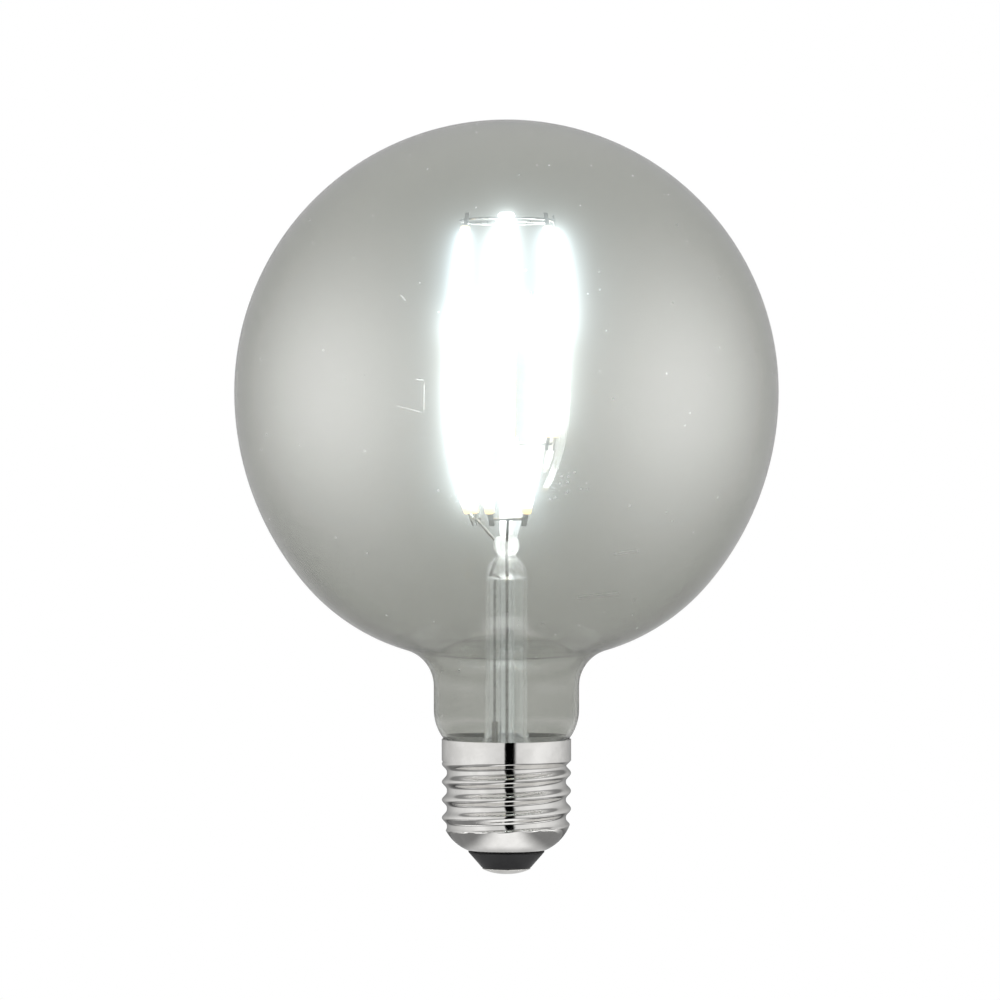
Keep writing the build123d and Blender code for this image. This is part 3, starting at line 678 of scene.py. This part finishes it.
# %% Globe outline and globe
side_radius = 60 * mm
side_angle = 40
shoulder_radius = 43 * mm
blend_radius = 7.6 * mm
side_centre = (globe_radius - side_radius, equator)
shoulder_centre = (
    side_centre[0] + (side_radius - shoulder_radius) * math.cos(math.radians(side_angle)),
    equator - (side_radius - shoulder_radius) * math.sin(math.radians(side_angle)),
)
blend_reach = neck_radius + blend_radius - shoulder_centre[0]
meeting = math.degrees(math.acos(blend_reach / (shoulder_radius + blend_radius)))
blend_centre = (
    neck_radius + blend_radius,
    shoulder_centre[1] - (shoulder_radius + blend_radius) * math.sin(math.radians(meeting)),
)
rim_play = 0.15 * mm
tail_drop = 1.1 * mm
rim_bore = collar_radius - shell_wall - rim_play
foot_run = neck_radius - rim_bore
foot_radius = (foot_run**2 + (neck_foot - rim) ** 2) / (2 * foot_run)
foot_angle = math.degrees(math.asin((neck_foot - rim) / foot_radius))


def glass_skin(inset):
    """The globe's half outline from the crown to the tail's lower end, moved in by inset."""
    foot = arc((neck_radius - foot_radius, neck_foot), foot_radius - inset, 0, -foot_angle, 6)
    tail_top = foot[-1][1] - tail_drop
    return (
        arc((0, equator), globe_radius - inset, 90, 0, 48)
        + arc(side_centre, side_radius - inset, 0, -side_angle, 20)[1:]
        + arc(shoulder_centre, shoulder_radius - inset, -side_angle, -meeting, 16)[1:]
        + arc(blend_centre, blend_radius + inset, 180 - meeting, 180, 12)[1:]
        + foot
        + [(tail_radius - inset, tail_top), (tail_radius - inset, globe_low[2])]
    )


globe_outline = glass_skin(0) + glass_skin(globe_wall)[::-1]
globe = turned("smoky_globe", globe_outline, 180)
settle(globe, "glass_globe", smoky, 60)

# %% [markdown]
# ## Stem, exhaust tube and rod
#
# Inside the neck stands a clear stem: a flare sealed to the neck, a tube, and a pinched top with a
# bead, all one piece of glass. A thin exhaust tube hangs inside it, and a rod with small beads
# stands on it. They are lathe work too, and the wires are sealed into them, so they have no holes.

# %% Stem
stem_radius = 4.3 * mm
stem_wall = 0.9 * mm
pinch_radius = 1.95 * mm
bead_radius = 2.65 * mm
bead_top_radius = 1.9 * mm
stem_top = stem_high[2]
stem_shoulder = stem_top - 8.7 * mm
pinch = stem_top - 4.0 * mm
bead_foot = stem_top - 3.6 * mm
bead = stem_top - 1.5 * mm
flare_radius = 6.5 * mm
flare_centre = (stem_radius + flare_radius, globe_low[2] + 7 * mm)
flare_rim = stem_high[0]
flare_end = math.degrees(math.acos((flare_centre[0] - flare_rim) / flare_radius))
flare_out = arc(flare_centre, flare_radius, 180 + flare_end, 180, 16)
flare_in = arc(flare_centre, flare_radius + stem_wall, 180, 180 + flare_end, 16)
shoulder_middle = (3.675 * mm, stem_shoulder + 2.9 * mm)
shoulder = arc_through((stem_radius, stem_shoulder), shoulder_middle, (pinch_radius, pinch), 14)
bead_arc = arc_through((pinch_radius, bead_foot), (bead_radius, bead), (bead_top_radius, stem_top), 12)
stem_outline = flare_out + shoulder + bead_arc + [(0, stem_top), (0, stem_shoulder + 2 * mm)]
stem_outline += [(stem_radius - stem_wall, stem_shoulder)] + flare_in + [flare_out[0]]
stem = turned("glass_stem", stem_outline, 64)
settle(stem, "stem_tube", clear, 50)

# %% Exhaust tube and rod
exhaust_radius = (exhaust_high[0] - exhaust_low[0]) / 2
exhaust_bore = exhaust_radius - 0.6 * mm
tip = (0, exhaust_low[2] + exhaust_radius)
exhaust_outline = arc(tip, exhaust_radius, -90, 0, 10)
exhaust_outline += [(exhaust_radius, exhaust_high[2]), (exhaust_bore, exhaust_high[2])]
exhaust_outline += arc(tip, exhaust_bore, 0, -90, 10)
exhaust_outline.append(exhaust_outline[0])
exhaust = turned("pumping_tube", exhaust_outline, 40)
settle(exhaust, "exhaust_tube", clear, 50)

rod_radius = 1.4 * mm
ring_level = (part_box("top_ring")[0][2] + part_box("top_ring")[1][2]) / 2
link_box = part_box("link_wire_1")
link_levels = (link_box[0][2] + link_diameter / 2, link_box[1][2] - link_diameter / 2)
rod_outline = [(0, rod_low[2]), (rod_radius, rod_low[2])]
link_bead, ring_bead = (2.6 * mm, 1.7 * mm), (1.95 * mm, 1.6 * mm)
rod_beads = ((link_levels[0], link_bead), (link_levels[1], link_bead), (ring_level, ring_bead))
for level, (radius, half) in rod_beads:
    rod_outline += arc_through((rod_radius, level - half), (radius, level), (rod_radius, level + half), 10)
rod_outline += [(rod_radius, rod_high[2]), (0, rod_high[2])]
support = turned("glass_rod", rod_outline, 40)
settle(support, "support_rod", clear, 50)

# %% [markdown]
# ## Screw shell
#
# The shell is thin sheet, drawn to a cup and rolled between two dies, so its round thread shows
# inside and out. It starts as a plain sleeve from the lathe, with many points up its side. Each
# point is then moved in or out by the thread's wave, which ends at the nose and runs out into the
# collar, and Solidify gives the sheet its thickness inwards. Its ridges are narrower than its valleys.

# %% Screw shell
thread_root = 12.05 * mm
thread_depth = 1.025 * mm
thread_pitch = 3.629 * mm
crest_level = 9.5 * mm
crest_sharpness = 1.4
nose_radius = 9 * mm
nose_reach = 4.425 * mm
lip_radius = 7.7 * mm
nose_centre = (nose_reach, shoulder_level + math.sqrt(nose_radius**2 - (lip_radius - nose_reach) ** 2))
collar_base = 22.9 * mm
crease = 0.12 * mm


def soft_max(first, second, width):
    """The larger of two radii, with the crease between them rounded."""
    gap = max(width - abs(first - second), 0) / width
    return max(first, second) + gap * gap * width / 4


def soft_min(first, second, width):
    return -soft_max(-first, -second, width)


def sheet_radius(azimuth, level):
    """The shell's outer radius: the thread, ended below by the nose and above by the collar."""
    turn = azimuth - 2 * math.pi * (level - crest_level) / thread_pitch
    thread = thread_root + thread_depth * ((1 + math.cos(turn)) / 2) ** crest_sharpness
    drop = nose_centre[1] - level
    nose = nose_centre[0] + math.sqrt(nose_radius**2 - max(drop, 0) ** 2)
    cone = collar_radius - max(collar_base - level, 0)
    return soft_max(soft_min(thread, nose, crease), cone, crease)


rings = 150
ring_step = (rim - shoulder_level) / rings
sleeve_outline = [(collar_radius, shoulder_level + ring_step * ring) for ring in range(rings + 1)]
screw = turned("nickel_screw_shell", sleeve_outline, 144)
for point in screw.data.vertices:
    azimuth = math.atan2(point.co.y, point.co.x)
    radius = sheet_radius(azimuth, point.co.z)
    point.co.x = radius * math.cos(azimuth)
    point.co.y = radius * math.sin(azimuth)
pick_only(screw)
bpy.ops.object.modifier_add(type="SOLIDIFY")
solidify = screw.modifiers[-1]
solidify.thickness = shell_wall
solidify.offset = -1
bpy.ops.object.modifier_apply(modifier=solidify.name)
settle(screw, "screw_shell", nickel, 40)
print("shell box", [round(side / mm, 2) for side in screw.dimensions])

# %% [markdown]
# ## Insulator and contact
#
# The insulator is moulded, so its edges are rounded and its cone is a little full. The contact below
# it is a stamped disc with a rolled edge and a low dome, held by its rivet. Both are lathe work.

# %% Insulator
insulator_top = shoulder_level - slack
insulator_foot = 1.2 * mm
bore = 1.35 * mm
cone_top, cone_foot = 7.7 * mm, 5.0 * mm
seat_radius = 7.25 * mm
flange = (8.55 * mm, insulator_high[2])
foot_start = (cone_foot - 0.3 * mm, insulator_foot)
foot_end = (cone_foot + 0.3 * mm, insulator_foot + 0.42 * mm)
side_middle = (6.55 * mm, 3.05 * mm)
side_end = (cone_top - 0.1 * mm, insulator_top - 0.4 * mm)
top_end = (cone_top - 0.12 * mm, insulator_top)
insulator_outline = [(bore, insulator_foot), foot_start]
insulator_outline += arc_through(foot_start, (cone_foot, insulator_foot + 0.12 * mm), foot_end, 6)[1:]
insulator_outline += arc_through(foot_end, side_middle, side_end, 10)[1:]
insulator_outline += arc_through(side_end, (cone_top, insulator_top - 0.18 * mm), top_end, 5)[1:]
insulator_outline += [(seat_radius, insulator_top), (seat_radius + 0.05 * mm, insulator_top + 0.1 * mm)]
insulator_outline += [flange, (bore, flange[1]), (bore, insulator_foot)]
insulator = turned("moulded_insulator", insulator_outline, 96)
settle(insulator, "cap_insulator", black, 35)

# %% Contact
contact_edge = 4.9 * mm
dome_start, dome_end = (1.5 * mm, 0), (contact_edge - 0.12 * mm, 0.93 * mm)
roll_end = (contact_edge - 0.1 * mm, insulator_foot)
contact_outline = [(0, 0), dome_start]
contact_outline += arc_through(dome_start, (3.3 * mm, 0.34 * mm), dome_end, 14)[1:]
contact_outline += arc_through(dome_end, (contact_edge, 1.05 * mm), roll_end, 6)[1:]
rivet_radius, rivet_level = 1.3 * mm, 6.4 * mm
rivet_edge = (2 * mm, rivet_level)
contact_outline += [(rivet_radius, insulator_foot), (rivet_radius, rivet_level), rivet_edge]
contact_outline += arc_through(rivet_edge, (1.5 * mm, 6.75 * mm), (0, 6.9 * mm), 10)[1:]
contact = turned("domed_contact", contact_outline, 96)
settle(contact, "centre_contact", bright, 35)

# %% [markdown]
# ## Filaments
#
# A filament is a narrow strip with a row of small chips, covered all over with phosphor in a soft
# resin. The eight strips are bowed: the foot, the belly and the head of each tier lie on one arc.
# The resin's section is a circle squeezed to a rounded strip, and a spin about the bow's own centre
# carries it along the arc. The ends are drawn out a little and narrowed, as resin pulls back from
# the bare metal. One filament of a tier is modelled, and the tier's four are turned copies of it.

# %% The bow of a tier
lower_tier = ((7.9, 4.9), (12.2, 26.2), (10.4, 46.3))
upper_tier = ((10.2, 20.3), (12.0, 40.9), (10.1, 62.1))
lower_azimuths = (145, 190, 245, 300)
upper_azimuths = (100, 215, 325, 370)
tiers = (("lower", lower_tier, lower_azimuths), ("upper", upper_tier, upper_azimuths))
filament_width = 1.9 * mm
filament_depth = 1.5 * mm
section_power = 0.6
drawn_ends = ((0.18 * mm, 0.86), (0.14 * mm, 0.72), (0.06 * mm, 0.6))
bow_steps = 56


def bow_points(tier, steps=bow_steps):
    """Points (radius, height) in metres along a tier's bow, from foot to head."""
    foot, belly, head = [(radius * mm, stem_top + rise * mm) for radius, rise in tier]
    return arc_through(foot, belly, head, steps)


def bow_centre(tier):
    """The centre (radius, height) of the bow, from the crossing of two of its normals."""
    points = bow_points(tier, 2)
    (ax, ay), (bx, by), (cx, cy) = points
    first = Vector((bx - ax, by - ay))
    second = Vector((cx - bx, cy - by))
    middle = Vector(((ax + bx) / 2, (ay + by) / 2))
    other = Vector(((bx + cx) / 2, (by + cy) / 2))
    normal = Vector((-first.y, first.x))
    reach = (other - middle).dot(second) / normal.dot(second)
    return middle + normal * reach


# %% One filament of a tier
def bowed_strip(name, tier):
    """A resin-coated strip in the plane of X and Z, with the share of its length at each point."""
    points = bow_points(tier)
    centre = bow_centre(tier)
    foot, head = Vector(points[0]), Vector(points[-1])
    start = foot - centre
    sweep = math.atan2((head - centre).y, (head - centre).x) - math.atan2(start.y, start.x)
    fresh_start()
    bpy.ops.mesh.primitive_circle_add(vertices=20, radius=1, location=(0, 0, 0), fill_type="NGON")
    piece = bpy.context.object
    piece.name = piece.data.name = name
    for point in piece.data.vertices:
        cosine, sine = point.co.x, point.co.y
        point.co.x = math.copysign(abs(cosine) ** section_power, cosine) * filament_depth / 2
        point.co.y = math.copysign(abs(sine) ** section_power, sine) * filament_width / 2
    tilt = math.atan2(start.y, start.x)
    piece.data.transform(Matrix.Translation((foot.x, 0, foot.y)) @ Matrix.Rotation(-tilt, 4, "Y"))
    bpy.ops.object.mode_set(mode="EDIT")
    bpy.ops.mesh.select_all(action="SELECT")
    bpy.ops.mesh.spin(steps=bow_steps, angle=sweep, center=(centre.x, 0, centre.y), axis=(0, 1, 0))
    end_way = Vector((-(head - centre).y, (head - centre).x)).normalized() * math.copysign(1, sweep)
    foot_way = -Vector((-start.y, start.x)).normalized() * math.copysign(1, sweep)
    for corner, way in ((head, end_way), (foot, foot_way)):
        bpy.ops.mesh.select_all(action="DESELECT")
        bpy.ops.object.mode_set(mode="OBJECT")
        for face in piece.data.polygons:
            middle = face.center
            face.select = len(face.vertices) > 4 and (Vector((middle.x, middle.z)) - corner).length < 0.5 * mm
        bpy.ops.object.mode_set(mode="EDIT")
        pivot = corner + way * mm / 4
        for draw, narrow in drawn_ends:
            step = (way.x * draw, 0, way.y * draw)
            bpy.ops.mesh.extrude_region_move(TRANSFORM_OT_translate={"value": step})
            bpy.ops.transform.resize(value=(narrow, narrow, narrow), center_override=(pivot.x, 0, pivot.y))
    bpy.ops.mesh.select_all(action="SELECT")
    bpy.ops.mesh.normals_make_consistent(inside=False)
    bpy.ops.object.mode_set(mode="OBJECT")
    share = piece.data.attributes.new("along", "FLOAT", "POINT")
    length = (Vector(points[-1]) - Vector(points[0])).length
    chord = (head - foot).normalized()
    for point in piece.data.vertices:
        rise = (Vector((point.co.x, point.co.z)) - foot).dot(chord)
        share.data[point.index].value = min(max(rise / length, 0), 1)
    return piece


def turned_copy(master, name, azimuth):
    """A copy with its own mesh, turned about the lamp's axis."""
    copy = bpy.data.objects.new(name, master.data.copy())
    copy.data.name = name
    copy.data.transform(Matrix.Rotation(math.radians(azimuth), 4, "Z"))
    bpy.context.scene.collection.objects.link(copy)
    return copy


# %% Eight filaments
for label, tier, azimuths in tiers:
    master = bowed_strip("strip_master", tier)
    for index, azimuth in enumerate(azimuths):
        strip = turned_copy(master, f"lit_strip_{label}_{index + 1}", azimuth)
        settle(strip, f"filament_{label}_{index + 1}", phosphor, 60)
    bpy.data.objects.remove(master)

# %% [markdown]
# ## Wires
#
# All the wires are drawn, round and bent by hand tools, so each is a line of straight runs and
# small arcs with a round section. A curve does that: it gets a bevel as its section and is then
# turned into a mesh. The places follow the filaments' tabs, because the wires are welded to them.

# %% Places on the tabs
tab_length = 3 * mm
tab_width = 1.2 * mm
tab_thickness = 0.25 * mm
weld_inset = 1.3 * mm


def at(radius, height, azimuth):
    angle = math.radians(azimuth)
    return Vector((radius * math.cos(angle), radius * math.sin(angle), height))


def tab_frame(tier, end):
    """Start and outward way, as (radius, height), of the tab at the foot (0) or the head (1)."""
    start = Vector(bow_points(tier)[-end])
    spoke = start - bow_centre(tier)
    way = Vector((-spoke.y, spoke.x)).normalized()
    return start, way if (way.y > 0) == bool(end) else -way


def tab_point(tier, end, from_tip, inward=0.0):
    """A point along a tab, measured back from its tip and inward from its middle."""
    start, way = tab_frame(tier, end)
    side = Vector((-abs(way.y), way.x if way.y > 0 else -way.x))
    return start + way * (tab_length - from_tip) + side * inward


# %% A bent wire
def bent(points, radius):
    """The middle line of a wire: straight runs with an arc at each corner."""
    line = [points[0]]
    for before, corner, after in zip(points, points[1:], points[2:]):
        back, on = (before - corner).normalized(), (after - corner).normalized()
        half = back.angle(on) / 2
        centre = corner + (back + on).normalized() * radius / math.sin(half)
        first = (corner + back * radius / math.tan(half) - centre).normalized()
        last = (corner + on * radius / math.tan(half) - centre).normalized()
        line += [centre + first.slerp(last, step / 8) * radius for step in range(9)]
    return line + [points[-1]]


def level_arc(radius, height, start, end, steps):
    return [at(radius, height, start + (end - start) * step / steps) for step in range(steps + 1)]


def round_wire(node_name, line, diameter, closed=False):
    fresh_start()
    bpy.ops.curve.primitive_bezier_curve_add(location=(0, 0, 0))
    piece = bpy.context.object
    curve = piece.data
    curve.splines.clear()
    spline = curve.splines.new("POLY")
    spline.points.add(len(line) - 1)
    for point, place in zip(spline.points, line):
        point.co = (*place, 1)
    spline.use_cyclic_u = closed
    curve.bevel_depth = diameter / 2
    curve.bevel_resolution = 3
    curve.use_fill_caps = True
    bpy.ops.object.convert(target="MESH")
    piece = bpy.context.object
    piece.name = piece.data.name = "round_" + node_name
    settle(piece, node_name, plated, 50)


# %% Leads and crossbars
lead_diameter = 0.6 * mm
board_thickness = 0.8 * mm
stem_spread = 2.5 * mm
pinch_spread = 1.3 * mm
bead_spread = 1.8 * mm
lead_bend = 0.9 * mm
pairs = (("live", lower_azimuths[:2]), ("neutral", lower_azimuths[2:]))
bar_radius, bar_height = tab_point(lower_tier, 0, weld_inset, (tab_thickness + lead_diameter) / 2 + slack)
live_y = at(stem_spread, 0, sum(lower_azimuths[:2]) / 2).y
front_y = live_y - lead_diameter - board_thickness - 2 * slack
for label, pair in pairs:
    azimuth = sum(pair) / 2
    upright = at(stem_spread, 0, azimuth)
    foot_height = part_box("lead_wire_" + label)[0][2]
    if label == "live":
        foot = [Vector((upright.x, upright.y, foot_height))]
    else:
        jog = foot_height + 3.2 * mm
        foot = [
            Vector((upright.x, front_y, foot_height)),
            Vector((upright.x, front_y, jog)),
            Vector((upright.x, upright.y, jog + 3 * mm)),
        ]
    foot += [
        at(stem_spread, stem_shoulder - lead_bend, azimuth),
        at(pinch_spread, pinch - lead_bend, azimuth),
        at(bead_spread, bead, azimuth),
        at(bar_radius - lead_diameter - slack, bar_height, azimuth),
    ]
    round_wire("lead_wire_" + label, bent(foot, lead_bend), lead_diameter)
    margin = math.degrees(tab_width / 2 / bar_radius)
    bar = level_arc(bar_radius, bar_height, min(pair) - margin, max(pair) + margin, 24)
    round_wire("crossbar_" + label, bar, lead_diameter)

# %% Link wires, ring and stays
link_spread = 1.95 * mm
link_bend = 0.7 * mm
stay_start = 0.85 * mm
stay_azimuths = (20, 145, 265)
lift = (tab_thickness + link_diameter) / 2 + slack
hooked = weld_inset + 1.4 * mm
head_level = tab_point(lower_tier, 1, weld_inset).y
foot_level = tab_point(upper_tier, 0, weld_inset).y
for index, (lower, upper) in enumerate(zip(lower_azimuths, upper_azimuths)):
    middle = (lower + upper) / 2
    link = [
        at(*tab_point(lower_tier, 1, hooked, lift), lower),
        at(*tab_point(lower_tier, 1, weld_inset, lift), lower),
        at(link_spread, head_level, middle),
        at(link_spread, foot_level, middle),
        at(*tab_point(upper_tier, 0, weld_inset, lift), upper),
        at(*tab_point(upper_tier, 0, hooked, lift), upper),
    ]
    round_wire(f"link_wire_{index + 1}", bent(link, link_bend), link_diameter)
ring_radius = tab_point(upper_tier, 1, weld_inset, lift).x
crown_level = tab_point(upper_tier, 1, weld_inset).y
round_wire("top_ring", level_arc(ring_radius, crown_level, 0, 360, 96)[:-1], link_diameter, closed=True)
for index, azimuth in enumerate(stay_azimuths):
    stay_end = ring_radius - link_diameter / 2 - slack
    ends = [at(stay_start, crown_level, azimuth), at(stay_end, crown_level, azimuth)]
    round_wire(f"ring_stay_{index + 1}", ends, link_diameter)


# %% [markdown]
# ## Tabs
#
# The bare tabs are stamped strip, and each shows two spot welds: round dimples where the electrode
# pressed. A fine grid is dented there and given its thickness. A tier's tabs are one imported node,
# so they are joined.

# %% Tabs of a tier
dent_depth = 0.05 * mm
dent_radius = 0.26 * mm


def tab_plate(tier, end, azimuth):
    start, way = tab_frame(tier, end)
    fresh_start()
    bpy.ops.mesh.primitive_grid_add(x_subdivisions=24, y_subdivisions=12, size=1, location=(0, 0, 0))
    piece = bpy.context.object
    length = tab_length - slack
    welds = (tab_length - weld_inset, tab_length - hooked)
    for point in piece.data.vertices:
        along, across = (point.co.x + 0.5) * length + slack, point.co.y * tab_width
        dents = [math.exp(-(((along - weld) ** 2 + across**2) / dent_radius**2)) for weld in welds]
        point.co = (along, across, dent_depth * max(dents))
    bpy.ops.object.modifier_add(type="SOLIDIFY")
    solidify = piece.modifiers[-1]
    solidify.thickness = tab_thickness - dent_depth
    solidify.offset = 0
    bpy.ops.object.modifier_apply(modifier=solidify.name)
    forward = Vector((way.x, 0, way.y))
    sideways = Vector((0, 1, 0))
    turn = Matrix((forward, sideways, forward.cross(sideways))).transposed().to_4x4()
    place = Matrix.Rotation(math.radians(azimuth), 4, "Z") @ Matrix.Translation((start.x, 0, start.y)) @ turn
    piece.data.transform(place)
    return piece


for label, tier, azimuths in tiers:
    plates = [tab_plate(tier, end, azimuth) for azimuth in azimuths for end in (0, 1)]
    fresh_start()
    for plate in plates:
        plate.select_set(True)
    bpy.context.view_layer.objects.active = plates[0]
    bpy.ops.object.join()
    joined = bpy.context.object
    joined.name = joined.data.name = "welded_tabs_" + label
    settle(joined, "filament_tabs_" + label, plated, 50)

# %% [markdown]
# ## Carried-over nodes
#
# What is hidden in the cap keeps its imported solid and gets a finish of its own.

# %% Finishes for the carried-over nodes
carried = {
    # The cement's finish carries a painted glow for the filaments' light.
    "basing_cement": cement_painted_glow_finish,
    "driver_board": board_finish,
    "bridge_rectifier": chip_finish,
    "driver_chip": chip_finish,
    "smoothing_capacitor": can_finish,
    "sense_resistors": resistor_finish,
    "fuse_resistor": resistor_finish,
    "lead_sleeve": sleeve_finish,
    "shell_wire": plated,
}
for name, material in carried.items():
    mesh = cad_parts[name].data
    for index in range(len(mesh.materials)):
        mesh.materials[index] = material
print("carried over:", len(carried), "nodes")

# %% [markdown]
# ## Glare
#
# Lit filaments are far brighter than the white field, and a lens spreads that into a bloom. It is
# not part of the lamp, so it belongs to the picture: three Glare nodes add it after the render, a
# close and strong one, a wider one and a faint haze.

# %% Glare
scene = bpy.context.scene
scene.view_settings.view_transform = "Standard"
scene.use_nodes = True
picture = scene.node_tree
picture.nodes.clear()
layers = node(picture, "CompositorNodeRLayers")
image = layers.outputs["Image"]
for size, strength in ((0.05, 0.5), (0.12, 0.4), (0.5, 0.15)):
    glare = node(picture, "CompositorNodeGlare", glare_type="BLOOM")
    glare.inputs["Threshold"].default_value = 1.5
    glare.inputs["Strength"].default_value = strength
    glare.inputs["Size"].default_value = size
    glare.inputs["Tint"].default_value = (0.88, 0.95, 1.0, 1)
    wire(picture, image, glare.inputs["Image"])
    image = glare.outputs["Image"]
composite = node(picture, "CompositorNodeComposite")
wire(picture, image, composite.inputs["Image"])
